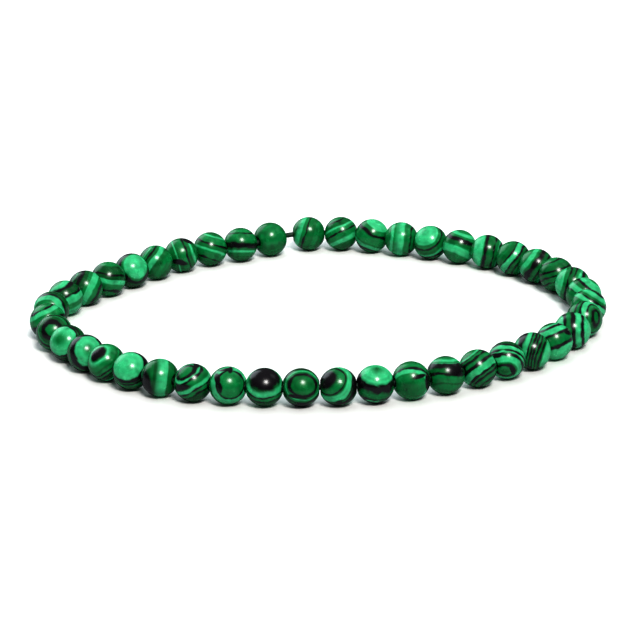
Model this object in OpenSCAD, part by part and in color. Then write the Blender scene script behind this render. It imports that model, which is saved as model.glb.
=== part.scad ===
// Beaded bracelet: round drilled stone beads on one elastic thread, closed into a loop and laid down flat.
// Millimetres. The origin is on the surface that the bracelet lies on, below the middle of the loop.
// +X runs along the loop's longer side, +Y away from the nearer side, and +Z up.

/* [Beads] */
// Number of beads on the thread
bead_count = 44; // [40:1:48]
// Diameter of one bead
bead_d = 4; // [3.5:0.1:5]
// Diameter of the flat at each end of a bead, round its hole, where it meets the next bead
end_d = 1.5; // [1.4:0.05:1.8]
// Diameter of the hole drilled through a bead
hole_d = 0.9; // [0.8:0.05:1.1]
// Diameter of the bevelled mouth at each end of the hole
mouth_d = 1.3; // [1.2:0.05:1.35]
// Free space along the thread between one bead and the next
bead_play = 0.05; // [0.05:0.01:0.2]

/* [Thread] */
// Diameter of the elastic thread
thread_d = 0.6; // [0.4:0.1:0.6]
// Length of bare thread where the string closes at the back
bare_thread = 1.2; // [1:0.1:2.5]
// Number of flat sides round the thread
thread_sides = 8; // [8:1:12]

/* [Hidden] */
$fn = 48;

// The line of the thread round the loop, clockwise seen from above, from the place at the back where it
// closes. Each row is a direction from the middle of the loop, in degrees from +X, and the thread's
// distance from there.
DIRECTION = 0;
REACH = 1;
THREAD_LINE = [
    [97.5, 24.8],
    [93, 25.1],
    [86, 25.2],
    [77, 24.8],
    [66, 24.4],
    [54, 24.8],
    [40, 26.1],
    [24, 27.8],
    [8, 29.5],
    [-6, 30.5],
    [-19, 30.1],
    [-36, 28.5],
    [-54, 27.3],
    [-70, 26.4],
    [-86, 25.9],
    [-100, 25.9],
    [-112, 26.5],
    [-124, 27.3],
    [-138, 27.9],
    [-152, 28.5],
    [-163, 29.4],
    [-173, 30.0],
    [-182, 29.5],
    [-192, 27.9],
    [-204, 25.7],
    [-218, 24.4],
    [-232, 24.0],
    [-244, 23.4],
    [-254, 23.2],
];
// Steps from one row of the table to the next on the smoothed line
line_steps = 24;

// Colours that the beads take in turn, from their pale, middle and dark bands
BEAD_COLOURS = [[0.16, 0.72, 0.42], [0.05, 0.45, 0.2], [0.02, 0.3, 0.14], [0.08, 0.55, 0.28]];
THREAD_COLOUR = [0.05, 0.06, 0.05];

// Length of a bead between the flats at its two ends
bead_l = sqrt(pow(bead_d, 2) - pow(end_d, 2));
bevel = (mouth_d - hole_d) / 2;
// Beads round a full turn touch at the inner rims of their ends, which takes this much more thread
room_in_all = PI * end_d;
string_length = bead_count * (bead_l + bead_play) + room_in_all + bare_thread;
// A cut runs this far past the surface that it opens
past = 0.5;

// Row k of the table, which goes on round the loop for any whole k
line_rows = len(THREAD_LINE);
function row(k) = let (laps = floor(k / line_rows)) THREAD_LINE[k - laps * line_rows] - [360 * laps, 0];
function reach_slope(k) =
    let (before = row(k - 1), after = row(k + 1))
    (after[REACH] - before[REACH]) / (after[DIRECTION] - before[DIRECTION]);

// The point at share t of the way from row k to row k + 1, on a line without corners
function line_point(k, t) =
    let (
        a = row(k),
        b = row(k + 1),
        turn = b[DIRECTION] - a[DIRECTION],
        reach = (2 * t ^ 3 - 3 * t ^ 2 + 1) * a[REACH] + (3 * t ^ 2 - 2 * t ^ 3) * b[REACH]
            + turn * ((t ^ 3 - 2 * t ^ 2 + t) * reach_slope(k) + (t ^ 3 - t ^ 2) * reach_slope(k + 1)),
        direction = a[DIRECTION] + t * turn
    )
    reach * [cos(direction), sin(direction)];
line = [
    for (k = [0 : line_rows - 1], step = [0 : line_steps - 1]) line_point(k, step / line_steps),
    line_point(0, 0)
];

// Distance run along the line at each of its points
last = len(line) - 1;
run = [for (i = 0, d = 0; i <= last; d = d + norm(line[min(i + 1, last)] - line[i]), i = i + 1) d];
// The table gives the loop's shape, and this brings it to the length of the beads and the bare thread
fit = string_length / run[last];
x_at = [for (i = [0 : last]) [fit * run[i], fit * line[i].x]];
y_at = [for (i = [0 : last]) [fit * run[i], fit * line[i].y]];

function unit(v) = v / norm(v);

// The point at distance d along the string, which goes on round the loop for any d
function at(d) =
    let (on_loop = d - string_length * floor(d / string_length))
    [lookup(on_loop, x_at), lookup(on_loop, y_at)];

// How far the string turns between two beads that meet at distance d, in degrees
function turn_at(d) =
    let (before = at(d) - at(d - bead_l), after = at(d + bead_l) - at(d))
    abs(atan2(cross(before, after), before * after));

// How far from the bend at distance d a bead's end stands when its inner rim touches the next bead
function room(d) = end_d / 2 * tan(turn_at(d) / 2);

// The thread bends only between beads: bend i is before bead i, and the last one is after the last bead
bend_at = [
    for (
        i = 0, d = bare_thread / 2;
        i <= bead_count;
        d = d + bead_l + bead_play + room(d) + room(d + bead_l), i = i + 1
    ) d
];
bends = [for (d = bend_at) at(d)];
middles = [
    for (i = [0 : bead_count - 1])
        let (
            along = bends[i + 1] - bends[i],
            from_bend = (norm(along) + room(bend_at[i]) - room(bend_at[i + 1])) / 2
        )
        bends[i] + from_bend * unit(along)
];
xs = [for (p = middles) p.x];
ys = [for (p = middles) p.y];
loop_middle = [max(xs) + min(xs), max(ys) + min(ys)] / 2;

function bead_name(i) = str("bead_", i < 9 ? "0" : "", i + 1);

// A bead on the origin with its hole along Z, ground flat at both ends and bevelled at both mouths
module drilled_bead() {
    difference() {
        intersection() {
            sphere(d = bead_d);
            cylinder(h = bead_l, d = bead_d + 2 * past, center = true);
        }
        cylinder(h = bead_d + 2 * past, d = hole_d, center = true);
        for (end = [0, 1]) {
            mirror([0, 0, end])
                translate([0, 0, bead_l / 2 - bevel])
                    cylinder(h = bevel + past, d1 = hole_d, d2 = mouth_d + 2 * past);
        }
    }
}

// Bead number i on its straight stretch of thread, resting on the surface
module bead(i) {
    along = bends[i + 1] - bends[i];
    middle = middles[i] - loop_middle;
    color(BEAD_COLOURS[i % len(BEAD_COLOURS)])
        translate([middle.x, middle.y, bead_d / 2])
            rotate([0, 90, atan2(along.y, along.x)])
                drilled_bead();
}

// One closed tube, with a ring of points at every bend
module thread() {
    rings = bead_count + 1;
    points = [
        for (i = [0 : rings - 1])
            let (
                here = bends[i] - loop_middle,
                before = unit(bends[i] - bends[(i + rings - 1) % rings]),
                after = unit(bends[(i + 1) % rings] - bends[i]),
                along = unit(before + after),
                // The ring is wider across a bend, so that the tube keeps its thickness on both sides of it
                across = [-along.y, along.x] / (along * after)
            )
            for (side = [0 : thread_sides - 1])
                let (a = 360 * side / thread_sides, r = thread_d / 2)
                [here.x + r * cos(a) * across.x, here.y + r * cos(a) * across.y, bead_d / 2 + r * sin(a)]
    ];
    faces = [
        for (i = [0 : rings - 1], side = [0 : thread_sides - 1])
            let (
                j = (i + 1) % rings,
                next_side = (side + 1) % thread_sides
            )
            [
                i * thread_sides + side,
                i * thread_sides + next_side,
                j * thread_sides + next_side,
                j * thread_sides + side
            ]
    ];
    color(THREAD_COLOUR)
        polyhedron(points = points, faces = faces, convexity = 4);
}

for (i = [0 : bead_count - 1]) {
    bead(i);
}
thread();
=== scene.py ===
# %% [markdown]
# A beaded bracelet in Blender, built around its own construction model.
# The real thing is a string of 44 round beads of banded green stone on one elastic thread. It lies closed
# on a white surface, and the photograph looks down on it at about 20 degrees through a long lens. The
# construction model already holds every bead and the thread at their real places and sizes. It is loaded
# here as a fixed frame, in metres, and nothing below moves or resizes it. This script gives it its looks.

# %% Load the frame
import math
from collections import namedtuple

import bmesh
import bpy
from mathutils import Matrix, Vector


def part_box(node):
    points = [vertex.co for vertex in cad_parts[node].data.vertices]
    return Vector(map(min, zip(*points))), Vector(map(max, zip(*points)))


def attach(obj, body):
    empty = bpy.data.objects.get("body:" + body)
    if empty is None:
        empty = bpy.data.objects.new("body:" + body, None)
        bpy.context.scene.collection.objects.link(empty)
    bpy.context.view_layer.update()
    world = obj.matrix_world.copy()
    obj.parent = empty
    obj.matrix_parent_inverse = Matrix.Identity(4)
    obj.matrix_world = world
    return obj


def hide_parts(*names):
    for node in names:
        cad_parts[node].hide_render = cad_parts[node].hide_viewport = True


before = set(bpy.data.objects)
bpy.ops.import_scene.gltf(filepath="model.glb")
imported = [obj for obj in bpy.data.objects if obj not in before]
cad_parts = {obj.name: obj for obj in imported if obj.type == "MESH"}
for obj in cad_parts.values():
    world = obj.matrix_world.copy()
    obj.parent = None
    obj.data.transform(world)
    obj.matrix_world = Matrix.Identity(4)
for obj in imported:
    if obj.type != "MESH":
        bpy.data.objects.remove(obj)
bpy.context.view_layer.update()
MM = 0.001
bead_names = sorted(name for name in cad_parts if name.startswith("bead_"))


# %% [markdown]
# The camera comes first, because it settles how large everything shows and how fine the detail has to be. A
# photograph's angle can be found from its shapes: the loop's far beads show smaller than its near ones,
# which gives the distance and the lens, and the loop's height against its width gives the tilt. A long lens
# far away keeps the beads round, so the camera stands about 30 cm off with a field of view of 13 degrees.

# %% Camera
PHOTO_WIDTH = 640
SENSOR = 36.0
FOCAL_PIXELS = 2745
CAMERA_SIDE = 0.2 * MM
CAMERA_BACK = 288.7 * MM
CAMERA_HEIGHT = 105 * MM
TILT_DOWN = math.radians(19.966)
ROLL = math.radians(1.47)
NEAR_CLIP = 10 * MM
FAR_CLIP = 20


def new_object(name, data):
    """An object in the scene, at the origin."""
    made = bpy.data.objects.new(name, data)
    bpy.context.scene.collection.objects.link(made)
    return made


camera_data = bpy.data.cameras.new("camera")
camera_data.sensor_width = SENSOR
camera_data.lens = FOCAL_PIXELS / PHOTO_WIDTH * SENSOR
camera_data.clip_start = NEAR_CLIP
camera_data.clip_end = FAR_CLIP
camera = new_object("camera", camera_data)
eye = Vector((CAMERA_SIDE, -CAMERA_BACK, CAMERA_HEIGHT))
eye_turn = Matrix.Rotation(math.pi / 2 - TILT_DOWN, 4, "X") @ Matrix.Rotation(-ROLL, 4, "Z")
camera.matrix_world = Matrix.Translation(eye) @ eye_turn
bpy.context.scene.camera = camera
print("lens", round(camera_data.lens, 1), "mm")

# %% [markdown]
# Each bead is strung at its own place and angle, and a finer bead has to sit exactly there. The places
# could be typed in again, but then a change to the construction would leave the finer beads behind. So they
# are read off the frame: the middle of a bead is the middle of its box, and the direction of its hole is
# the mean direction of the points that lie well inside the ball, which are those on the wall of the hole.

# %% Places of the beads and their holes
INSIDE_BALL = 0.9
Place = namedtuple("Place", "middle along")
low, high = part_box(bead_names[0])
BEAD_RADIUS = (high.z - low.z) / 2


def place_of(name):
    """The middle of one bead, and the direction of its hole."""
    low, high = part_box(name)
    middle = (low + high) / 2
    offsets = [point.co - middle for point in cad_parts[name].data.vertices]
    on_wall = [offset for offset in offsets if offset.length < INSIDE_BALL * BEAD_RADIUS]
    first = on_wall[0]
    along = sum((offset if offset.dot(first) > 0 else -offset for offset in on_wall), Vector())
    return Place(middle, along.normalized())


places = {name: place_of(name) for name in bead_names}
print("bead", round(2 * BEAD_RADIUS / MM, 2), "mm across")

# %% [markdown]
# A hole has two ends, and so far it is chance which of them a bead's direction points to. The thread needs
# to know, because it leaves one bead at its far end and enters the next at its near end. So each direction
# is turned, where it has to be, to point along the string to the next bead. The length of a bead between
# its flat ends is measured on the first one, because all are alike.

# %% Directions along the string
for i, name in enumerate(bead_names):
    here = places[name]
    following = places[bead_names[(i + 1) % len(bead_names)]]
    if here.along.dot(following.middle - here.middle) < 0:
        places[name] = Place(here.middle, -here.along)

first = places[bead_names[0]]
first_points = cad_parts[bead_names[0]].data.vertices
HALF_LENGTH = max((point.co - first.middle).dot(first.along) for point in first_points)
END_RADIUS = math.sqrt(BEAD_RADIUS**2 - HALF_LENGTH**2)
print("bead", round(2 * HALF_LENGTH / MM, 2), "mm long, with ends of", round(2 * END_RADIUS / MM, 2), "mm")

# %% [markdown]
# A round stone bead is ground to a ball and drilled. Its two ends are ground flat round the hole, so that
# it sits against its neighbours, and the mouths of the hole are eased so that they don't cut the thread. It
# could be a sphere with a Boolean cylinder, but that leaves long thin triangles round the hole. Seen in
# half section a drilled bead is one closed outline beside the axis of its hole: the ball's arc from one end
# to the other, then a flat, a bevel, the wall of the hole, a bevel and a flat. The arc is itself a spin, of
# one point about the middle of the ball.

# %% Half section of a bead
HOLE_RADIUS = 0.45 * MM
MOUTH_RADIUS = 0.65 * MM
ARC_STEPS = 36


def half_section(bm):
    """Draws the closed outline of a bead beside its hole, which runs along Z."""
    start = bm.verts.new((END_RADIUS, 0, HALF_LENGTH))
    swing = math.pi - 2 * math.asin(END_RADIUS / BEAD_RADIUS)
    arc = bmesh.ops.spin(
        bm, geom=[start], cent=(0, 0, 0), axis=(0, 1, 0), angle=swing, steps=ARC_STEPS
    )
    last = next(g for g in arc["geom_last"] if isinstance(g, bmesh.types.BMVert))
    wall_height = HALF_LENGTH - (MOUTH_RADIUS - HOLE_RADIUS)
    hole = [
        (MOUTH_RADIUS, -HALF_LENGTH),
        (HOLE_RADIUS, -wall_height),
        (HOLE_RADIUS, wall_height),
        (MOUTH_RADIUS, HALF_LENGTH),
    ]
    for radius, height in hole:
        corner = bm.verts.new((radius, 0, height))
        bm.edges.new((last, corner))
        last = corner
    bm.edges.new((last, start))


print("hole", round(2 * HOLE_RADIUS / MM, 2), "mm, mouths", round(2 * MOUTH_RADIUS / MM, 2), "mm")

# %% [markdown]
# Polishing takes the sharpness off every edge of a real bead, and the line of light on an eased edge makes
# it look solid. Spinning the half section about the hole gives the whole bead in even four-sided faces,
# with no poles and nothing to cut. Its corners are then found by the angle between their faces and bevelled
# a little, and the mesh itself is turned and moved to the bead's place.

# %% One bead's mesh
ROUND_STEPS = 64
CORNER = math.radians(15)
EASE = 0.04 * MM
EASE_SEGMENTS = 3


def bead_mesh(name, place):
    """The half section is spun about the hole, and its corners are eased."""
    bm = bmesh.new()
    half_section(bm)
    bmesh.ops.spin(
        bm,
        geom=bm.verts[:] + bm.edges[:],
        cent=(0, 0, 0),
        axis=(0, 0, 1),
        angle=2 * math.pi,
        steps=ROUND_STEPS,
        use_merge=True,
    )
    corners = [e for e in bm.edges if e.is_manifold and e.calc_face_angle() > CORNER]
    bmesh.ops.bevel(
        bm,
        geom=corners,
        offset=EASE,
        affect="EDGES",
        segments=EASE_SEGMENTS,
        profile=0.5,
        material=-1,
        clamp_overlap=True,
    )
    bmesh.ops.recalc_face_normals(bm, faces=bm.faces[:])
    for face in bm.faces:
        face.smooth = True
    stand = Vector((0, 0, 1)).rotation_difference(place.along).to_matrix().to_4x4()
    bmesh.ops.transform(bm, matrix=Matrix.Translation(place.middle) @ stand, verts=bm.verts[:])
    mesh = bpy.data.meshes.new(name)
    bm.to_mesh(mesh)
    bm.free()
    return mesh


print("edges eased by", round(EASE / MM, 2), "mm")

# %% [markdown]
# The string has 44 such beads. They could share one mesh, but a finished piece has its place in its own
# mesh, as the construction's beads do, so that a pattern in object coordinates stays on it. So each bead
# gets a mesh of its own, and stands for the bead of the construction in the same place.

# %% All the beads
beads = {}
for name in bead_names:
    bead = new_object("stone_" + name, bead_mesh("stone_" + name, places[name]))
    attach(bead, "root")
    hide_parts(name)
    beads[name] = bead
print("each bead has", len(bead.data.polygons), "faces")

# %% [markdown]
# Every finish below is made of nodes, and effects that several materials share are node groups. Node by
# node in Python takes many lines, so a few helpers keep the recipes short. One adds a node with its options
# and inputs in a single call. The others start a material, start a group with its named sockets, and place
# a group in a material with values of its own.

# %% Helpers: nodes, materials and groups
VECTOR = "NodeSocketVector"
FLOAT = "NodeSocketFloat"


def add(tree, kind, options=None, **inputs):
    """One node with its options. Each input, by name or as i0, i1..., takes a value or an output."""
    node = tree.nodes.new(kind)
    for key, value in (options or {}).items():
        setattr(node, key, value)
    for key, value in inputs.items():
        numbered = key[0] == "i" and key[1:].isdigit()
        socket = node.inputs[int(key[1:]) if numbered else key.replace("_", " ")]
        if isinstance(value, bpy.types.NodeSocket):
            tree.links.new(value, socket)
        else:
            socket.default_value = value
    return node


def new_material(name):
    """A material, with its tree of nodes and the shader in it."""
    material = bpy.data.materials.new(name)
    material.use_nodes = True
    return material, material.node_tree, material.node_tree.nodes["Principled BSDF"]


def new_group(name, inputs, outputs):
    """A shader node group with its named sockets, and its two end nodes."""
    group = bpy.data.node_groups.new(name, "ShaderNodeTree")
    for label, kind in inputs:
        group.interface.new_socket(name=label, in_out="INPUT", socket_type=kind)
    for label, kind in outputs:
        group.interface.new_socket(name=label, in_out="OUTPUT", socket_type=kind)
    return group, group.nodes.new("NodeGroupInput"), group.nodes.new("NodeGroupOutput")


def placed(tree, group, **values):
    """The outputs of a group that is placed in a tree with these values."""
    return add(tree, "ShaderNodeGroup", {"node_tree": group}, **values).outputs


print("helpers for nodes, materials and groups are ready")

# %% [markdown]
# A few kinds of node come back again and again: sums, distances, a value taken from one range to another,
# two colours mixed, and a point seen from a frame of its own. Each gets a helper that hands back the output
# itself, so that the recipes read like formulas.

# %% Helpers: sums, ranges, mixtures and frames


def in_order(values):
    """Values for a node's inputs by their numbers."""
    return {"i%d" % i: value for i, value in enumerate(values)}


def math_node(tree, operation, *values):
    return add(tree, "ShaderNodeMath", {"operation": operation}, **in_order(values)).outputs[0]


def vector_node(tree, operation, *values, **named):
    options = {"operation": operation}
    return add(tree, "ShaderNodeVectorMath", options, **in_order(values), **named).outputs["Vector"]


def length_of(tree, vector):
    return add(tree, "ShaderNodeVectorMath", {"operation": "LENGTH"}, i0=vector).outputs["Value"]


def map_range(tree, value, start, end, low=0.0, high=1.0, interpolation="LINEAR"):
    """The value, taken from the range start to end to the range low to high."""
    return add(
        tree,
        "ShaderNodeMapRange",
        {"interpolation_type": interpolation},
        Value=value,
        From_Min=start,
        From_Max=end,
        To_Min=low,
        To_Max=high,
    ).outputs[0]


def mix_colours(tree, share, first, second, blend="MIX"):
    """Two colours mixed. On a Mix node input 0 is the share, and inputs 6 and 7 are the colours."""
    options = {"data_type": "RGBA", "blend_type": blend}
    return add(tree, "ShaderNodeMix", options, i0=share, i6=first, i7=second).outputs[2]


def seen_from(tree, vector, place, turn, size):
    """The point as it is in a frame that has this place, turn and size."""
    return add(
        tree,
        "ShaderNodeMapping",
        {"vector_type": "TEXTURE"},
        Vector=vector,
        Location=place,
        Rotation=turn,
        Scale=size,
    ).outputs[0]


print("helpers for formulas are ready")

# %% [markdown]
# Banded stone grows in layers round a core, like the coats of an onion, and a bead is a ball cut out of the
# block at random. Cut near the core it shows rings, like an eye. Cut far from it, it shows nearly straight
# bands. The bands could be painted on an unwrapped bead, but one recipe does for every bead: bend space
# with a little noise, measure each point's distance from the core, and colour it by a list of layers. The
# pattern runs right through the bead, and no unwrapping is needed. The shared part is a node group. It is
# given the point in bead radii from the middle of the bead. It puts out the bent point, the depth in the
# layers, from 0 on the near side of the bead to 1 on the far side, and three noises.

# %% Node group: layers of stone round a core
layers_group, layers_in, layers_out = new_group(
    "stone_layers",
    [
        ("Point", VECTOR),
        ("Core", VECTOR),
        ("Turn", VECTOR),
        ("Stretch", VECTOR),
        ("Wander", FLOAT),
        ("Seed", FLOAT),
    ],
    [
        ("Bent Point", VECTOR),
        ("Depth", FLOAT),
        ("Tone", FLOAT),
        ("Cloud", FLOAT),
        ("Thickness", FLOAT),
    ],
)
point = layers_in.outputs["Point"]
seed = layers_in.outputs["Seed"]
print("group", layers_group.name, "with", len(layers_group.interface.items_tree), "sockets")

# %% [markdown]
# No layer in real stone is a true ring. Layers sway in slow waves, and small ripples run along them. Each
# edge could be drawn ragged by itself, but layers grew on each other and sway together. So noise moves each
# point a little before its distance from the core is measured: a slow noise, and a quick one with a small
# share of its strength. The noise has a fourth dimension, and each bead's seed picks a place along it, so
# that no two beads sway alike.

# %% Bend the layers
SLOW_BEND = 0.9
QUICK_BEND = 3.2
QUICK_SHARE = 0.17
BEND_DETAIL = 1.0
NOISE_MIDDLE = (0.5, 0.5, 0.5)


def stone_noise(tree, point, seed, scale, detail, roughness=0.5):
    """Noise of its own for each bead, which its seed picks."""
    return add(
        tree,
        "ShaderNodeTexNoise",
        {"noise_dimensions": "4D"},
        Vector=point,
        W=seed,
        Scale=scale,
        Detail=detail,
        Roughness=roughness,
    )


def bend_by(tree, point, seed, scale, amount):
    """How far noise of one scale moves the point, evenly to all sides."""
    noise = stone_noise(tree, point, seed, scale, BEND_DETAIL).outputs["Color"]
    even = vector_node(tree, "SUBTRACT", noise, NOISE_MIDDLE)
    return vector_node(tree, "SCALE", even, Scale=amount)


wander = layers_in.outputs["Wander"]
quick_wander = math_node(layers_group, "MULTIPLY", wander, QUICK_SHARE)
slow = bend_by(layers_group, point, seed, SLOW_BEND, wander)
quick = bend_by(layers_group, point, seed, QUICK_BEND, quick_wander)
bent = vector_node(layers_group, "ADD", point, vector_node(layers_group, "ADD", slow, quick))
print("bent with", len(layers_group.nodes), "nodes so far")

# %% [markdown]
# A layer is everything at one distance from the core. The distance could be used as it is, but a core may
# lie far outside the bead, and then the whole list of layers would be used up before the bead begins. So
# the depth counts from the bead's own middle, with half of the list on each side. The distance is measured
# in a frame that may be turned and stretched, and that draws the rings out to ovals.

# %% Depth in the layers


def from_core(vector):
    """Distance from the core, along axes that are turned and stretched with the rings."""
    core, turn, stretch = (layers_in.outputs[label] for label in ("Core", "Turn", "Stretch"))
    return length_of(layers_group, seen_from(layers_group, vector, core, turn, stretch))


bead_middle = add(layers_group, "ShaderNodeCombineXYZ").outputs[0]
past_middle = math_node(layers_group, "SUBTRACT", from_core(bent), from_core(bead_middle))

# From -1 to 1 through the bead becomes 0 to 1
depth = math_node(layers_group, "MULTIPLY_ADD", past_middle, 0.5, 0.5)
print("depth with", len(layers_group.nodes), "nodes so far")

# %% [markdown]
# Within one layer the green isn't even: fine laminae run along it, and paler and deeper clouds lie across
# it. The laminae could be more rows in the list of layers, but there are far too many of them. Noise of the
# depth alone has the same value all along a layer, so it makes them in one node. Clouds are noise of the
# bent point, which also makes the polish uneven. The last noise tells the black layers where to swell.

# %% Tone, clouds and thickness
LAMINAE_PER_RADIUS = 5.0
LAMINAE_DETAIL = 3.0
LAMINAE_ROUGHNESS = 0.6
LAMINAE_SHARE = 0.3
CLOUD_SCALE = 2.4
CLOUD_DETAIL = 3.0
CLOUD_ROUGHNESS = 0.55
SWELL_SCALE = 2.3
SWELL_DETAIL = 1.5

laminae = add(
    layers_group,
    "ShaderNodeTexNoise",
    {"noise_dimensions": "1D"},
    W=math_node(layers_group, "MULTIPLY_ADD", past_middle, LAMINAE_PER_RADIUS, seed),
    Scale=1.0,
    Detail=LAMINAE_DETAIL,
    Roughness=LAMINAE_ROUGHNESS,
).outputs[0]
cloud = stone_noise(layers_group, bent, seed, CLOUD_SCALE, CLOUD_DETAIL, CLOUD_ROUGHNESS).outputs[0]
cloud_part = math_node(layers_group, "MULTIPLY", cloud, 1 - LAMINAE_SHARE)
tone = math_node(layers_group, "MULTIPLY_ADD", laminae, LAMINAE_SHARE, cloud_part)
thickness = stone_noise(layers_group, point, seed, SWELL_SCALE, SWELL_DETAIL).outputs[0]
for label, output in (
    ("Bent Point", bent),
    ("Depth", depth),
    ("Tone", tone),
    ("Cloud", cloud),
    ("Thickness", thickness),
):
    layers_group.links.new(output, layers_out.inputs[label])
print("group", layers_group.name, "with", len(layers_group.nodes), "nodes")

# %% [markdown]
# The black layers swell and pinch out along their way. So each one is first a ridge, which rises to its
# highest at the middle of the layer, and the group cuts the ridge off at a height that wanders over the
# surface: where the cut is low the layer is thick, and where it is high a thin layer vanishes. Black stone
# also stains the green beside it, so the foot of the ridge is a second mask, for a dark border.

# %% Node group: black layers that swell and pinch out
CUT_MEAN = 0.46
CUT_RANGE = 1.4
EDGE_SOFTNESS = 0.2
BORDER_REACH = 0.45
black_group, black_in, black_out = new_group(
    "black_layers",
    [("Ridge", FLOAT), ("Thickness", FLOAT)],
    [("Mask", FLOAT), ("Border", FLOAT)],
)
ridge = black_in.outputs["Ridge"]
swell = black_in.outputs["Thickness"]
cut = math_node(black_group, "MULTIPLY_ADD", swell, -CUT_RANGE, CUT_MEAN + CUT_RANGE / 2)
cut_start = math_node(black_group, "SUBTRACT", cut, EDGE_SOFTNESS)
cut_end = math_node(black_group, "ADD", cut, EDGE_SOFTNESS)
mask = map_range(black_group, ridge, cut_start, cut_end, interpolation="SMOOTHSTEP")
border_start = math_node(black_group, "SUBTRACT", cut, BORDER_REACH)
border = map_range(black_group, ridge, border_start, cut)
black_group.links.new(mask, black_out.inputs["Mask"])
black_group.links.new(border, black_out.inputs["Border"])
print("group", black_group.name, "with", len(black_group.nodes), "nodes")

# %% [markdown]
# Where the layers leave a hollow, black stone fills it as a blot. Its outline could be a shape drawn on the
# surface, but then it would be thin as paint. So a blot is an egg shape that reaches into the bead. Space
# is squeezed until the egg is a ball of radius 1, and the distance from its middle gives the mask.

# %% Node group: a black blot
BLOT_EDGE = 0.16
BLOT_BORDER = 0.5
blot_group, blot_in, blot_out = new_group(
    "black_blot",
    [("Point", VECTOR), ("Middle", VECTOR), ("Turn", VECTOR), ("Size", VECTOR)],
    [("Mask", FLOAT), ("Border", FLOAT)],
)
blot_point, blot_middle, blot_turn, blot_size = blot_in.outputs[:4]
in_egg = seen_from(blot_group, blot_point, blot_middle, blot_turn, blot_size)
from_middle = length_of(blot_group, in_egg)
for label, outer, inner in (("Mask", 1 + BLOT_EDGE, 1 - BLOT_EDGE), ("Border", 1 + BLOT_BORDER, 1)):
    inside_egg = map_range(blot_group, from_middle, outer, inner, interpolation="SMOOTHSTEP")
    blot_group.links.new(inside_egg, blot_out.inputs[label])
print("group", blot_group.name, "with", len(blot_group.nodes), "nodes")

# %% [markdown]
# Now the chart of the beads. Each row says how one bead was cut, as it shows from the photograph's side:
# where the core of the rings lies, to the right, up and towards the viewer, in bead radii from the middle
# of the bead. Layers are listed from the core outwards, each with its width in hundredths of a bead radius,
# 200 from one side of the bead to the other. A layer with a ~ fades into the next one instead of ending
# sharply. Rings may be drawn out: long is how much, and turn is the angle of the long way, in degrees from
# level. A blot has its place to the right and up, its half width and half height, and its turn. Wander is
# how far the layers stray from true rings. The first 13 beads run from where the string closes, at the
# back, round to the right end. They show small and out of focus, or not at all, so their rows follow the
# patches of light and dark, with a few fine layers of the same kinds between them.

# %% Chart of the beads from the back to the right end
Stone = namedtuple("Stone", "core layers turn long blots wander", defaults=(0, 1, (), 0.3))
Blot = namedtuple("Blot", "right up wide high turn", defaults=(0,))
CHART = {
    1: Stone((-3, 1, 0), "mid 26 deep 14~ light 34 mid 20 black 6 deep 40 mid 24 deep 36"),
    2: Stone((-1.5, 3, 0), "mid 30 black 5 deep 35 light 12 mid 22 black 5 mid 30 light 20 deep 41"),
    3: Stone((0.4, 0.8, 0.4), "light 74 mid 26 black 12 mid 40"),
    4: Stone((-4, 0.5, 0), "mid 46 light 20 mid 20~ light 40 mid 34 black 6 mid 34"),
    5: Stone((-0.35, 0.6, 0.72), "light 80 mid 20 black 6 deep 30"),
    6: Stone((1.2, 3.2, 0), "mid 24 light 20 mid 20 black 22 deep 24 mid 10 light 40 mid 40"),
    7: Stone((-3, 0.6, 0), "mid 30 light 60 mid 8 black 14 deep 34 black 5 mid 16 light 8 black 6 mid 19"),
    8: Stone(
        (-3, 2, 0),
        "mid 50 deep 30 black 6 light 36 black 8 deep 20 black 4 mid 16 light 10 black 5 mid 15",
    ),
    9: Stone(
        (-3.2, 2.2, 0),
        "mid 44 light 26 mid 16 black 28 deep 26 black 5 mid 14 light 9 black 6 deep 12 mid 14",
    ),
    10: Stone(
        (-1, 3, 0),
        "mid 30 black 4 mid 22 deep 30 black 7 deep 26 black 4 deep 18 mid 8 black 5 mid 18 deep 28",
    ),
    11: Stone(
        (-3, 0.8, 0),
        "light 62 mid 26 black 6 deep 22 black 5 mid 16 light 14 black 8 mid 14 deep 6 black 5 mid 16",
    ),
    12: Stone((2, 2.6, 0), "deep 12 light 44 black 10 deep 26 light 34 black 6 mid 40 deep 28"),
    13: Stone((2.2, 3.4, 0), "deep 12 black 6 light 30 deep 16 black 8 light 26 mid 40 deep 62"),
}
print(len(CHART), "beads are charted")

# %% [markdown]
# The next ten lie along the near side, from the right end to the middle. They are sharp, and no two are
# alike: an eye, a fan of stripes, a pale cap over black. Noise alone would give beads of the same kind, but
# none of these, so each row was read band by band off the bead, enlarged.

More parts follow.
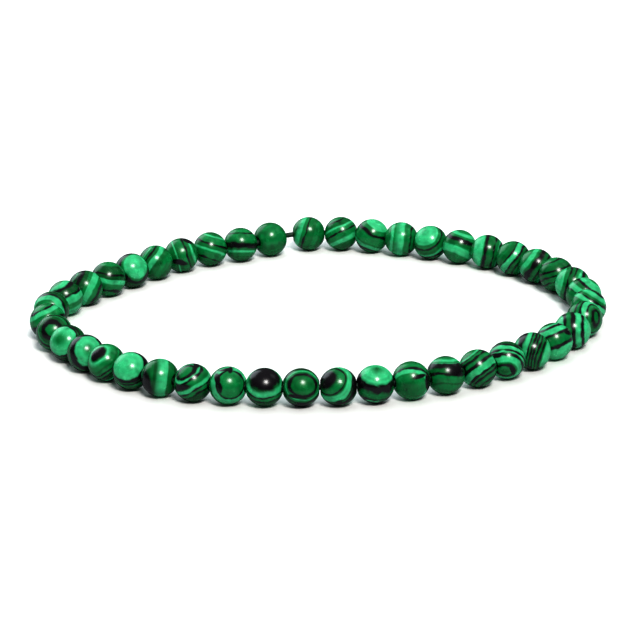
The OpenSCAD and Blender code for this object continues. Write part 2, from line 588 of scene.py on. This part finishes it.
# %% Chart of the beads on the right of the near side
CHART |= {
    14: Stone(
        (0.68, 0.06, 0.73),
        "deep 20 black 14 deep 10 mid 14 black 7 light 30 black 8 mid 18 black 5 mid 24 dark 14",
        turn=80,
        long=1.6,
    ),
    15: Stone((-6, 0, 0), "mid 14 light 46 black 14 mid 30 black 17 light 34 black 11 light 34", wander=0.22),
    16: Stone(
        (-2.2, 5, 0),
        "deep 14 light 12 black 11 light 34 black 10 deep 10 mid 41 black 12 light 56",
        blots=[Blot(0.75, 0.47, 0.26, 0.12, -20)],
        wander=0.24,
    ),
    17: Stone(
        (-5, 1.5, 0),
        "mid 12 light 14 black 30 light 32 black 5 mid 13 black 6 mid 9 black 6 mid 12 black 5 deep 14 "
        "black 6 mid 8 light 28",
    ),
    18: Stone(
        (-0.12, -0.56, 0.82),
        "deep 14 mid 18~ black 10 mid 10 light 28 black 8 mid 6 light 10 black 6 mid 4 light 22 "
        "black 10 dark 32",
        long=1.35,
        blots=[Blot(-0.5, 0.3, 0.32, 0.05, 8), Blot(0.3, -0.5, 0.11, 0.28, 10)],
    ),
    19: Stone(
        (-2.2, 2.6, 0),
        "mid 28 light 10 black 6 mid 12 black 13 mid 24 black 10 mid 6 light 36 black 7 mid 12 "
        "black 5 mid 18 black 5 mid 8",
    ),
    20: Stone(
        (0, 6, 0),
        "dark 8 mid 14 light 14 mid 8 light 6 black 26 deep 27 black 11 mid 34 dark 6 mid 24 deep 22",
        blots=[Blot(0.56, 0.2, 0.5, 0.25, -2), Blot(-0.5, 0.44, 0.35, 0.1, -15)],
    ),
    21: Stone(
        (-0.15, -0.5, 0.85),
        "deep 50~ mid 37 light 21 black 9 mid 24 deep 24",
        turn=20,
        long=1.25,
        blots=[Blot(0.42, 0.19, 0.34, 0.1, 17), Blot(0.84, -0.12, 0.1, 0.5, 4)],
        wander=0.15,
    ),
    22: Stone(
        (0.1, 0.78, 0.61),
        "deep 12~ light 80 black 34 mid 32 black 6 light 8 black 28",
        long=1.1,
        blots=[Blot(-0.86, 0.1, 0.16, 0.36)],
        wander=0.11,
    ),
    23: Stone(
        (-0.45, 0.35, 0.82),
        "deep 30~ mid 50 black 5 deep 8 light 31 black 6 mid 6 black 24 mid 8 dark 12",
        blots=[Blot(-0.62, 0.35, 0.56, 0.42, 50)],
    ),
}
print(len(CHART), "beads are charted")

# %% [markdown]
# Ten more follow, from the middle of the near side to the left end. Several of them turn their core
# straight to the viewer, so their rings are whole, and blots stand for the odd black marks across them.

# %% Chart of the beads on the left of the near side
CHART |= {
    24: Stone(
        (0.12, 0.12, 0.98),
        "deep 54 black 12 mid 14 light 4 mid 14 black 6 dark 44",
        long=1.3,
        blots=[Blot(0.05, -0.94, 0.55, 0.13), Blot(-0.2, -0.47, 0.5, 0.09, -8)],
        wander=0.2,
    ),
    25: Stone((0, 0.55, 0.83), "black 74 deep 6~ light 33 black 6 mid 18 black 5 dark 34", long=1.2),
    26: Stone(
        (0.16, 0.07, 0.98),
        "mid 75 black 8 light 34 mid 20 deep 20",
        blots=[
            Blot(-0.54, 0.32, 0.13, 0.32, 14),
            Blot(-0.42, -0.08, 0.1, 0.26, 6),
            Blot(-0.14, 0.8, 0.36, 0.07, 6),
            Blot(0.11, 0.78, 0.12, 0.14),
        ],
    ),
    27: Stone(
        (-0.38, 0.58, 0.72),
        "mid 28 black 14 light 14 black 7 mid 30 light 18 black 5 mid 16 black 5 dark 46",
        turn=28,
        long=1.6,
        blots=[Blot(-0.65, -0.25, 0.5, 0.15, 5), Blot(0.18, 0.88, 0.15, 0.12, -40)],
    ),
    28: Stone(
        (-6, 0.6, 0),
        "mid 40 deep 30 dark 26~ light 46 deep 30 dark 28",
        blots=[Blot(-0.76, -0.42, 0.34, 0.85, 6)],
        wander=0.15,
    ),
    29: Stone(
        (-0.25, 0.42, 0.87),
        "light 96 black 14 deep 10 black 4 mid 14 dark 34",
        blots=[Blot(0.85, 0.45, 0.14, 0.38, 30)],
        wander=0.18,
    ),
    30: Stone(
        (-0.45, 0.48, 0.75),
        "black 31 deep 8~ light 14~ mid 28 deep 10 mid 14 black 6 mid 12 black 5 dark 24",
        turn=44,
        long=1.45,
    ),
    31: Stone((0.15, 0.2, 0.97), "deep 10~ light 70 black 28 mid 10 dark 40", turn=90, long=1.25),
    32: Stone((-0.5, 0.2, 0.83), "mid 34~ light 60 black 8 dark 12 black 6 dark 52", wander=0.2),
    33: Stone((-0.15, 0.2, 0.97), "mid 34 black 26 dark 24 mid 16 black 8 mid 42"),
}
print(len(CHART), "beads are charted")

# %% [markdown]
# The last eleven go from the left end along the back to where the string closes. They are out of focus
# again, and two of them are hidden, so their rows too follow patches, with a few fine layers between them.

# %% Chart of the beads from the left end to the back
CHART |= {
    34: Stone((-1, 2, 0), "mid 40 black 10 light 30 mid 40 black 14 dark 66"),
    35: Stone((-0.4, -0.3, 0.9), "dark 30 black 12 mid 40 light 30 black 10 dark 40"),
    36: Stone((-2, 3, 0), "mid 20 light 30 black 20 dark 40 black 10 light 34 mid 20 light 26"),
    37: Stone(
        (-3, 1.5, 0),
        "deep 16~ black 5 mid 14 black 4 dark 11 black 20 dark 30 mid 20 light 34 mid 20 black 8 mid 18",
    ),
    38: Stone((0.5, 4, 0), "mid 30 dark 50 black 8 dark 24 light 24 mid 30 black 8 mid 26"),
    39: Stone((0.25, 0.35, 0.9), "light 80 mid 14 black 20 dark 52"),
    40: Stone(
        (-2, 1.5, 0),
        "deep 14 black 4 mid 16 light 6 mid 20 black 6 deep 22 light 28 deep 30 mid 30 deep 24",
    ),
    41: Stone(
        (-3, -1, 0),
        "mid 30 black 5 mid 15 deep 30 light 8 deep 22 mid 30 black 6 deep 20 light 10 deep 24",
        blots=[Blot(-0.15, -0.45, 0.5, 0.15, -8), Blot(0.35, 0.8, 0.3, 0.1, -20)],
    ),
    42: Stone((1, 3, 0), "deep 30 light 10 mid 40 black 6 deep 26 light 12 mid 34 black 5 deep 37"),
    43: Stone((0, 5, 0), "mid 40 black 4 mid 40 deep 20 black 26 deep 14 light 12 mid 18 deep 26"),
    44: Stone((0.1, 0.3, 0.95), "mid 74 deep 46 mid 30"),
}
print(len(CHART), "beads are charted")

# %% [markdown]
# Every bead also has a side that the photograph doesn't show. A row of the chart may stop short of 200: the
# rest faces away, and more layers of the same kinds finish it. Each bead could have its own, but five lists
# taken in turn are enough, because each is wrapped round another core.

# %% Far sides of the beads
FAR_SIDES = (
    "light 14 black 7 mid 14 black 5 deep 10 light 20",
    "mid 10 black 8 light 16 mid 10 black 6 deep 20",
    "black 6 mid 12 light 12 black 10 mid 30",
    "deep 10 light 18 black 6 mid 12 black 12 light 12",
    "mid 16 black 10 light 10 black 5 deep 29",
)
print(len(FAR_SIDES), "far sides")

# %% [markdown]
# The layers come in four greens and a black. A row of the chart is plain text, because text is easy to read
# beside the bead and easy to mend. Before use it is split into layers, each with its near and far edge as a
# share of the way through the bead.

# %% Shades, and reading a row
SHADES = {
    "light": (0.048, 0.49, 0.21),
    "mid": (0.002, 0.19, 0.052),
    "deep": (0.001, 0.145, 0.036),
    "dark": (0.001, 0.085, 0.02),
    "black": (0.007, 0.005, 0.007),
}
ACROSS_BEAD = 200
SHARP_EDGE = 0.03
Layer = namedtuple("Layer", "shade near far fades")


def read_layers(text):
    """The layers of a row, from 0 to 1 through the bead. Words past the bead's far side are left."""
    words = text.split()
    layers = []
    edge = 0.0
    for shade, width in zip(words[::2], words[1::2]):
        if edge > 1 - SHARP_EDGE:
            break
        far = edge + float(width.rstrip("~")) / ACROSS_BEAD
        layers.append(Layer(shade, edge, far, width.endswith("~")))
        edge = far
    return layers


print("bead 1 has", len(read_layers(CHART[1].layers)), "layers")

# %% [markdown]
# A colour ramp turns depth into green. Its stops could simply end where a black layer starts, but a black
# layer pinches out in places, and there the edge of the green would show. So the greens on both sides meet
# under the middle of each black layer. A layer that fades gives up half its own width to the change, and
# the next one gives up its start.

# %% Stops of the greens
FADE_START = 0.35
LEAST_BAND = 0.001


def green_stops(layers):
    """Ramp stops of the green layers, two to each, with its shade between them."""
    greens = [layer for layer in layers if layer.shade != "black"]
    stops = []
    for before, layer, after in zip([None] + greens, greens, greens[1:] + [None]):
        near = (before.far + layer.near) / 2 if before else layer.near
        far = (layer.far + after.near) / 2 if after else layer.far
        start = near + SHARP_EDGE / 2
        if before and before.fades:
            start = near + FADE_START * (far - near)
        end = (near + far) / 2 if layer.fades else far - SHARP_EDGE / 2
        stops.append((start, SHADES[layer.shade]))
        stops.append((max(end, start + LEAST_BAND), SHADES[layer.shade]))
    return stops


print("bead 1 has", len(green_stops(read_layers(CHART[1].layers))), "stops of green")

# %% [markdown]
# A second ramp turns depth into the ridges of the black layers. A ridge passes half height at both edges of
# its layer. How fast it rises settles how much the wandering cut can move the edge, so a wide layer rises
# more gently than a thin one. Two layers that lie close have ridges that run into each other, and the ramp
# can't hold both, so they meet in a valley.

# %% Stops of the black ridges
EDGE_HEIGHT = 0.5
LEAST_RUN = 0.05
RUN_SHARE = 0.5
RidgeStop = namedtuple("RidgeStop", "place height run")


def black_stops(layers):
    """Ramp stops of the ridges. The run is how much depth a ridge takes to rise from 0 to 1."""
    stops = []
    for layer in layers:
        if layer.shade != "black":
            continue
        width = layer.far - layer.near
        run = LEAST_RUN + RUN_SHARE * width
        top = min(1.0, EDGE_HEIGHT + width / 2 / run)
        to_top = (top - EDGE_HEIGHT) * run
        to_foot = EDGE_HEIGHT * run
        if stops and layer.near - to_foot < stops[-1].place:
            last = stops.pop()
            last_edge = last.place - EDGE_HEIGHT * last.run
            valley = (last_edge * run + layer.near * last.run) / (run + last.run)
            stops.append(RidgeStop(valley, EDGE_HEIGHT - (valley - last_edge) / last.run, run))
        else:
            stops.append(RidgeStop(layer.near - to_foot, 0.0, run))
        stops.append(RidgeStop(layer.near + to_top, top, run))
        stops.append(RidgeStop(layer.far - to_top, top, run))
        stops.append(RidgeStop(layer.far + to_foot, 0.0, run))
        if layer.near == 0:
            # A black core has no near edge, so its ridge starts at the top
            stops = [RidgeStop(0.0, 1.0, run)] + stops[2:]
    return [(stop.place, (stop.height, stop.height, stop.height)) for stop in stops]


print("bead 1 has", len(black_stops(read_layers(CHART[1].layers))), "stops of black")

# %% [markdown]
# Both lists of stops go into Color Ramp nodes. A new ramp has two stops of its own and always keeps one, so
# one is taken out, and the other is made the first of the list. A stop outside the bead is moved to its
# edge, and one that isn't past the stop before it is left out, because stops on top of each other would
# upset the order.

# %% Filling a ramp
LEAST_GAP = 0.0005
NO_RIDGE = [(0, (0, 0, 0))]


def ramp_of(tree, depth, stops):
    """The colour or height at each depth, from a Color Ramp node with these stops."""
    kept = []
    for place, colour in stops:
        place = min(max(place, 0.0), 1.0)
        if not kept or place > kept[-1][0] + LEAST_GAP:
            kept.append((place, colour))
    node = add(tree, "ShaderNodeValToRGB", None, Fac=depth)
    ramp = node.color_ramp
    ramp.interpolation = "LINEAR"
    while len(ramp.elements) > 1:
        ramp.elements.remove(ramp.elements[0])
    ramp.elements[0].position = kept[0][0]
    ramp.elements[0].color = (*kept[0][1], 1)
    for place, colour in kept[1:]:
        ramp.elements.new(place).color = (*colour, 1)
    return node.outputs["Color"]


print("the stops of a ramp lie at least", LEAST_GAP, "apart")

# %% [markdown]
# The chart was read from the photograph's side, but a pattern has to be fixed to the bead, or it would
# slide when the camera goes round. So the chart's axes at each bead, right, up and towards the place where
# the photograph was taken from, are worked out here once, as plain numbers. A Mapping node turns the point
# on the bead to them, and gives it in bead radii from the bead's middle.

# %% A point on its bead


def chart_axes(middle):
    """Right, up and towards the viewer at one bead, as the columns of a matrix."""
    towards = (eye - middle).normalized()
    right = (eye_turn.to_3x3() @ Vector((0, 1, 0))).cross(towards).normalized()
    return Matrix((right, towards.cross(right), towards)).transposed()


def point_on_bead(tree, place):
    object_point = add(tree, "ShaderNodeTexCoord").outputs["Object"]
    turn = chart_axes(place.middle).to_euler()
    return seen_from(tree, object_point, place.middle, turn, (BEAD_RADIUS, BEAD_RADIUS, BEAD_RADIUS))


def turned(degrees):
    """A turn in the plane that the viewer sees."""
    return (0, 0, math.radians(degrees))


print("bead 1 faces the viewer along", [round(x, 2) for x in (eye - first.middle).normalized()])

# %% [markdown]
# The black of one bead is its layers and its blots together. They could be painted one over the other, but
# the greens beside them need one border, so it is better to join the masks first: at each point the
# strongest of them counts. A blot is placed on the surface that the viewer sees, so its place towards the
# viewer follows from its place to the right and up.

# %% Black of one bead
DEEPEST_BLOT = 0.8
LEAST_TOWARDS = math.sqrt(0.1)


def blot_masks(tree, point, blot):
    """Mask and border of one blot. Its middle lies on the ball, or close to it near the ball's outline."""
    on_ball = math.sqrt(max(0.0, 1 - blot.right**2 - blot.up**2))
    return placed(
        tree,
        blot_group,
        Point=point,
        Middle=(blot.right, blot.up, max(on_ball, LEAST_TOWARDS)),
        Turn=turned(blot.turn),
        Size=(blot.wide, blot.high, DEEPEST_BLOT),
    )


def black_masks(tree, layered, layers, blots):
    """Where the bead is black, and the border where black stains the green."""
    ridges = ramp_of(tree, layered["Depth"], black_stops(layers) or NO_RIDGE)
    black = placed(tree, black_group, Ridge=ridges, Thickness=layered["Thickness"])
    mask, border = black["Mask"], black["Border"]
    for blot in blots:
        filled = blot_masks(tree, layered["Bent Point"], blot)
        mask = math_node(tree, "MAXIMUM", mask, filled["Mask"])
        border = math_node(tree, "MAXIMUM", border, filled["Border"])
    return mask, border


print(sum(len(stone.blots) for stone in CHART.values()), "blots in all")

# %% [markdown]
# The greens of one bead are its ramp, made lighter and darker by the laminae and clouds, and darker again
# beside the black. Mixing in a second green would shift the hue, and the stone only changes in depth of
# colour, so the ramp's colour is multiplied by one grey value that holds both.

# %% Greens of one bead
NOISE_RANGE = (0.35, 0.65)
TONES = (0.76, 1.24)
BORDER_STAIN = 0.5


def toned_greens(tree, layered, layers, border):
    """The colour of each green layer, with its tones and the stain beside the black."""
    greens = ramp_of(tree, layered["Depth"], green_stops(layers))
    tone = map_range(tree, layered["Tone"], *NOISE_RANGE, *TONES)
    unstained = math_node(tree, "MULTIPLY_ADD", border, -BORDER_STAIN, 1.0)
    shade = math_node(tree, "MULTIPLY", tone, unstained)
    return mix_colours(tree, 1.0, greens, shade, "MULTIPLY")


print("tones from", TONES[0], "to", TONES[1])

# %% [markdown]
# The material of one bead puts these together: the group of layers, then the greens, and the black over
# them. Polished stone is a dense, glassy solid, so the gloss needs no coat: an index of refraction a little
# above that of glass and a low roughness give it. Real polish is never quite even, so the clouds make the
# roughness vary a little too.

# %% Stone material
SEED_STEP = 3.7
CLOUD_RANGE = (0.3, 0.7)
POLISH = (0.22, 0.29)
STONE_IOR = 1.55


def stone_material(name, number, place, stone):
    """The banded stone of one bead, by its row of the chart."""
    material, tree, shader = new_material(name)
    layered = placed(
        tree,
        layers_group,
        Point=point_on_bead(tree, place),
        Core=stone.core,
        Turn=turned(stone.turn),
        Stretch=(stone.long, 1, 1),
        Wander=stone.wander,
        Seed=number * SEED_STEP,
    )
    layers = read_layers(stone.layers + " " + FAR_SIDES[number % len(FAR_SIDES)])
    mask, border = black_masks(tree, layered, layers, stone.blots)
    greens = toned_greens(tree, layered, layers, border)
    colour = mix_colours(tree, mask, greens, (*SHADES["black"], 1))
    polish = map_range(tree, layered["Cloud"], *CLOUD_RANGE, *POLISH)
    tree.links.new(colour, shader.inputs["Base Color"])
    tree.links.new(polish, shader.inputs["Roughness"])
    shader.inputs["IOR"].default_value = STONE_IOR
    return material


for name in bead_names:
    number = int(name[-2:])
    banded_stone = stone_material("banded_stone_%02d" % number, number, places[name], CHART[number])
    beads[name].data.materials.append(banded_stone)
print(len(bpy.data.materials), "materials")

# %% [markdown]
# The thread is a thin round elastic cord that runs through all the holes. It bends only between beads, half
# way between the end of one bead and the start of the next. Where the string closes, the beads stand apart,
# so both their ends are bends, with the bare stretch between them.

# %% Bends of the thread
thread_low, thread_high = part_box("thread")
THREAD_RADIUS = (thread_high.z - thread_low.z) / 2
bends = []
for i, name in enumerate(bead_names):
    here = places[name]
    last = places[bead_names[i - 1]]
    start = here.middle - here.along * HALF_LENGTH
    end = last.middle + last.along * HALF_LENGTH
    if (start - end).length > THREAD_RADIUS:
        bends += [end, start]
    else:
        bends.append((start + end) / 2)
print("thread", round(2 * THREAD_RADIUS / MM, 2), "mm thick, with", len(bends), "bends")

# %% [markdown]
# Rings could be bridged into a tube by hand, but a curve with a round bevel is the natural way to make a
# cord: it keeps its thickness at every bend, and it brings a UV map that runs along it and round it. It is
# then made a mesh, with its place in the mesh as on the beads.

# %% Thread
BEVEL_RESOLUTION = 4
curve = bpy.data.curves.new("thread_line", "CURVE")
curve.dimensions = "3D"
curve.bevel_depth = THREAD_RADIUS
curve.bevel_resolution = BEVEL_RESOLUTION
spline = curve.splines.new("POLY")
spline.points.add(len(bends) - 1)
spline.use_cyclic_u = True
for curve_point, bend in zip(spline.points, bends):
    curve_point.co = (*bend, 1)
carrier = bpy.data.objects.new("thread_line", curve)
thread_mesh = bpy.data.meshes.new_from_object(carrier)
bpy.data.objects.remove(carrier)
for face in thread_mesh.polygons:
    face.use_smooth = True
thread = new_object("elastic_thread", thread_mesh)
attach(thread, "root")
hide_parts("thread")
print("thread", len(thread_mesh.polygons), "faces")

# %% [markdown]
# Stretch cord for beads is a bundle of fine elastic strands, so it has a silky grain along its length. The
# strands could be thin tubes of their own, but they are far finer than anything that shows. The curve gave
# its mesh a UV map with the length along U and the way round along V, and noise that is stretched along the
# thread makes the strands, in colour and in relief.

# %% Thread material
STRANDS_ROUND = 26
STRAND_WAVES = 160
STRAND_DETAIL = 2.0
STRAND_DARK = (0.004, 0.014, 0.008, 1)
STRAND_PALE = (0.02, 0.06, 0.035, 1)
STRAND_HEIGHT = 0.03 * MM
STRAND_RELIEF = 0.6
ELASTIC_ROUGHNESS = 0.5
elastic, elastic_tree, elastic_shader = new_material("elastic")
thread_uv = add(elastic_tree, "ShaderNodeUVMap", {"uv_map": thread_mesh.uv_layers[0].name}).outputs[0]
strand_point = add(
    elastic_tree, "ShaderNodeMapping", None, Vector=thread_uv, Scale=(STRAND_WAVES, STRANDS_ROUND, 1)
).outputs[0]
strands = add(
    elastic_tree, "ShaderNodeTexNoise", None, Vector=strand_point, Scale=1.0, Detail=STRAND_DETAIL
).outputs[0]
strand_colour = mix_colours(elastic_tree, strands, STRAND_DARK, STRAND_PALE)
strand_bump = add(
    elastic_tree, "ShaderNodeBump", None, Height=strands, Strength=STRAND_RELIEF, Distance=STRAND_HEIGHT
).outputs[0]
elastic_tree.links.new(strand_colour, elastic_shader.inputs["Base Color"])
elastic_tree.links.new(strand_bump, elastic_shader.inputs["Normal"])
elastic_shader.inputs["Roughness"].default_value = ELASTIC_ROUGHNESS
thread.data.materials.append(elastic)
print("elastic material with", len(elastic_tree.nodes), "nodes")

# %% [markdown]
# The bracelet lies on a white sheet that is lit until it nearly burns out, so that only a soft grey shadow
# close under the beads shows where it is. A curved backdrop would do for a taller thing, but this view
# looks down on the sheet alone, so one large flat square is enough.

# %% Floor
SHEET_REACH = 3.0
bm = bmesh.new()
bmesh.ops.create_grid(bm, x_segments=1, y_segments=1, size=SHEET_REACH)
floor_mesh = bpy.data.meshes.new("floor")
bm.to_mesh(floor_mesh)
bm.free()
floor = new_object("floor", floor_mesh)
print("floor", 2 * SHEET_REACH, "m wide")

# %% [markdown]
# Paper is matt, so its material needs little. A polished ball mirrors the floor round it, though, and a
# sheet as bright as the camera sees it would veil the deep greens with grey. So the paper is darker for
# rays that come from the stone. Light Path tells the kinds of ray apart: those that only light the beads
# from below, and those that are mirrored in the polish.

# %% Paper
PAPER_SEEN = (0.87, 0.856, 0.848, 1)
PAPER_BOUNCED = (0.58, 0.6, 0.62, 1)
PAPER_MIRRORED = (0.3, 0.315, 0.33, 1)
PAPER_ROUGHNESS = 0.8
paper, paper_tree, paper_shader = new_material("paper")
ray = add(paper_tree, "ShaderNodeLightPath").outputs
for_bounce = mix_colours(paper_tree, ray["Is Diffuse Ray"], PAPER_SEEN, PAPER_BOUNCED)
for_gloss = mix_colours(paper_tree, ray["Is Glossy Ray"], for_bounce, PAPER_MIRRORED)
paper_tree.links.new(for_gloss, paper_shader.inputs["Base Color"])
paper_shader.inputs["Roughness"].default_value = PAPER_ROUGHNESS
floor.data.materials.append(paper)
print("paper with", len(paper_tree.nodes), "nodes")

# %% [markdown]
# A round bead mirrors the whole room, so its highlights tell how it was lit. Each bead has one small bright
# spot above and right of its middle, from a lamp behind the viewer. A lamp near the string would light one
# end more than the other. So the lamp is a sun, which lights all of it alike, and a wide one, because the
# shadow is soft.

# %% Key light
KEY_DIRECTION = (0.19, -0.61, 0.77)
KEY_DISTANCE = 1.0
KEY_WIDTH = math.radians(17)
KEY_STRENGTH = 2.1
KEY_COLOUR = (1, 0.98, 0.95)


def hang_light(name, data, direction, distance):
    """A lamp that faces the bracelet from the given direction."""
    light = new_object(name, data)
    away = Vector(direction).normalized()
    light.location = away * distance
    light.rotation_euler = away.to_track_quat("Z", "Y").to_euler()
    return light


sun = bpy.data.lights.new("key", "SUN")
sun.angle = KEY_WIDTH
sun.energy = KEY_STRENGTH
sun.color = KEY_COLOUR
hang_light("key", sun, KEY_DIRECTION, KEY_DISTANCE)
print("key light", round(math.degrees(KEY_WIDTH)), "degrees wide")

# %% [markdown]
# The beads also have a faint pale gleam at the upper left, from a panel that stands far back, and a weaker
# one at the upper right. Two more panels only lift the shadows and the undersides, so they are kept out of
# the reflections. A panel's energy grows with its area, so that its brightness stays what the table says
# when its size changes.

# %% Panels
Lamp = namedtuple("Lamp", "direction distance size radiance colour mirrored")
LAMPS = {
    "panel": Lamp((-0.57, 0.65, 0.45), 0.8, 0.6, 1.5, (0.84, 0.95, 1), True),
    "right": Lamp((0.63, 0.28, 0.72), 0.8, 0.3, 0.5, (0.9, 0.97, 1), True),
    "overhead": Lamp((0, 0, 1), 0.3, 0.3, 1.1, (0.88, 0.96, 1), False),
    "back": Lamp((0.15, 0.8, 0.6), 0.6, 0.5, 1.5, (0.88, 0.96, 1), False),
}
for name, lamp in LAMPS.items():
    panel = bpy.data.lights.new(name, "AREA")
    panel.shape = "SQUARE"
    panel.size = lamp.size
    panel.energy = lamp.radiance * math.pi * lamp.size**2
    panel.color = lamp.colour
    light = hang_light(name, panel, lamp.direction, lamp.distance)
    light.visible_glossy = lamp.mirrored
print(len(bpy.data.lights), "lights")

# %% [markdown]
# What isn't lamp or floor is the room. A dark room gives the stone its depth, because only the lamps show
# in the polish, and it is a little paler overhead, as a white ceiling would be. It could be a box of walls,
# but a background that only changes with height does the same. From low down the camera sees it past the
# sheet's far edge, so for the camera it is as white as the sheet. A look with more contrast sets off the
# black bands from the greens.

# %% Room
ROOM_COLOUR = (0.92, 0.97, 1, 1)
ROOM_LEVEL = 0.02
ROOM_OVERHEAD = 0.24
ROOM_SEEN = 0.68
world = bpy.data.worlds.new("studio")
bpy.context.scene.world = world
world.use_nodes = True
room = world.node_tree
background = room.nodes["Background"]
seen = add(room, "ShaderNodeLightPath").outputs["Is Camera Ray"]
direction = add(room, "ShaderNodeTexCoord").outputs["Generated"]
height = add(room, "ShaderNodeSeparateXYZ", None, i0=direction).outputs["Z"]
mirrored = map_range(room, height, 0.0, 1.0, ROOM_LEVEL, ROOM_OVERHEAD)
brightness = map_range(room, seen, 0.0, 1.0, mirrored, ROOM_SEEN)
room.links.new(brightness, background.inputs["Strength"])
background.inputs["Color"].default_value = ROOM_COLOUR
bpy.context.scene.view_settings.view_transform = "Standard"
bpy.context.scene.view_settings.look = "High Contrast"
print("room from", ROOM_LEVEL, "to", ROOM_OVERHEAD)
